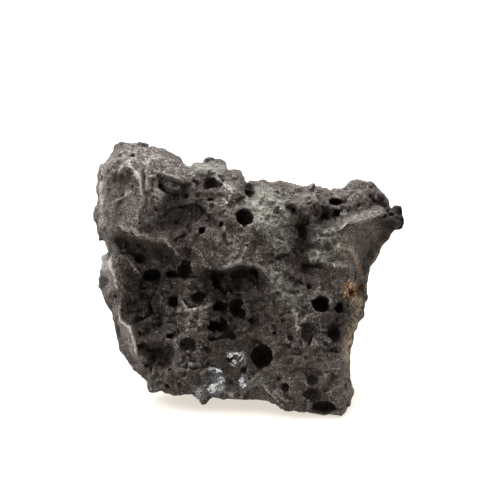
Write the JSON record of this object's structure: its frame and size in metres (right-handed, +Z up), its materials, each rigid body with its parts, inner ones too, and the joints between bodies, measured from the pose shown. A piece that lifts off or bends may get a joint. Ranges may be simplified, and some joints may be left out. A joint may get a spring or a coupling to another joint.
{
  "type": "gyrolite specimen",
  "caption": "Lump of dark vesicular basalt, broken and pitted with gas bubbles, with small clusters of white gyrolite crystals low on its face.",
  "frame": {"origin": "centre of the specimen's bounding box, on the surface it rests on", "axes": "+Z up; the broken face with the crystals looks towards -Y and leans back 18 degrees; +X to the right along that face"},
  "size_m": [0.0516, 0.0352, 0.0416],
  "materials": {
    "basalt": "rough broken basalt, dark grey-brown with purplish and pale green patches",
    "gyrolite": "white, pearly crystal plates"
  },
  "bodies": {
    "root": {"basalt_matrix": "basalt", "gyrolite_low_cluster": "gyrolite", "gyrolite_upper_cluster": "gyrolite", "gyrolite_left_tuft": "gyrolite", "gyrolite_right_tuft": "gyrolite"}
  },
  "joints": []
}
